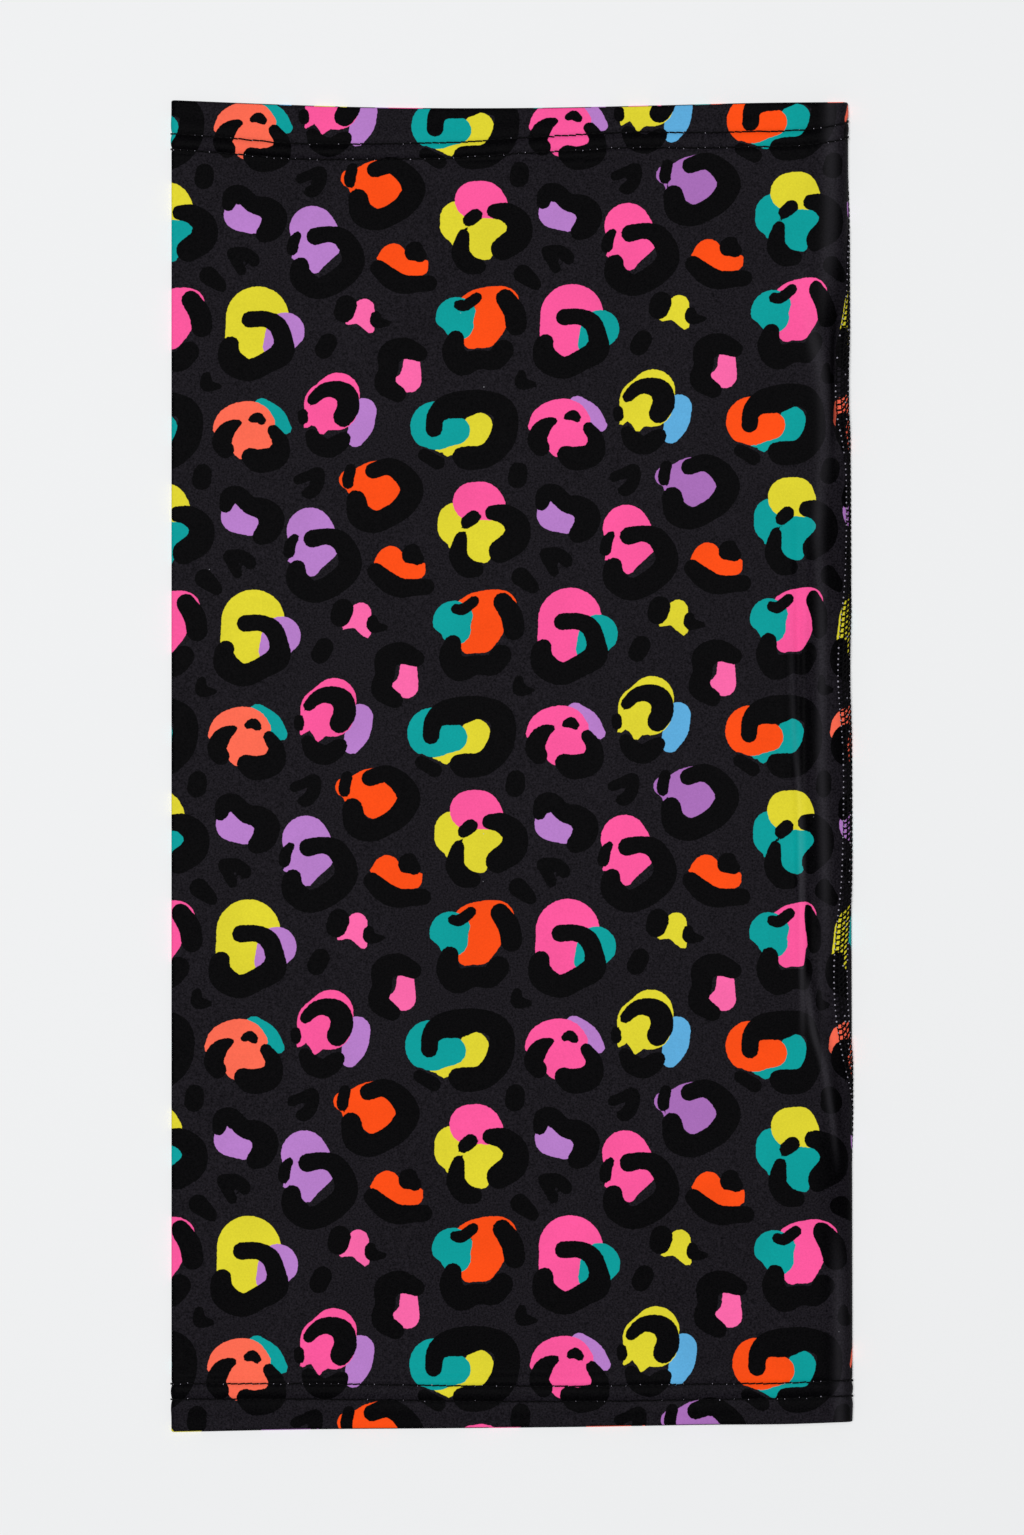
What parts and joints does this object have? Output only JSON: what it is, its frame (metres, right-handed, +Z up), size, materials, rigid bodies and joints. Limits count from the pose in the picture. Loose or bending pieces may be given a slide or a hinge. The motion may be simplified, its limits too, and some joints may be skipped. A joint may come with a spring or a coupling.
{
  "type": "neck gaiter",
  "caption": "Stretch-knit tube for the neck and lower face, open at both ends, with turned cover-stitched hems and a flat side seam, lying flat.",
  "frame": {"origin": "on the surface that the gaiter lies on, under the middle of the flattened tube", "axes": "+X across the tube towards the side seam, +Y along the tube towards the upper opening, +Z up out of the face that is on show"},
  "size_m": [0.246, 0.48, 0.0112],
  "materials": {
    "printed_knit": "smooth stretch jersey with a slight satin sheen, printed with multicoloured leopard spots on charcoal",
    "sewing_thread": "matt black polyester sewing thread"
  },
  "bodies": {
    "root": {"fabric_panel": "printed_knit", "top_hem_needle_thread_outer": "sewing_thread", "top_hem_needle_thread_inner": "sewing_thread", "top_hem_looper_thread": "sewing_thread", "bottom_hem_needle_thread_outer": "sewing_thread", "bottom_hem_needle_thread_inner": "sewing_thread", "bottom_hem_looper_thread": "sewing_thread", "seam_needle_thread_1": "sewing_thread", "seam_needle_thread_2": "sewing_thread", "seam_needle_thread_3": "sewing_thread", "seam_needle_thread_4": "sewing_thread", "seam_cover_thread": "sewing_thread", "seam_looper_thread": "sewing_thread"}
  },
  "joints": []
}
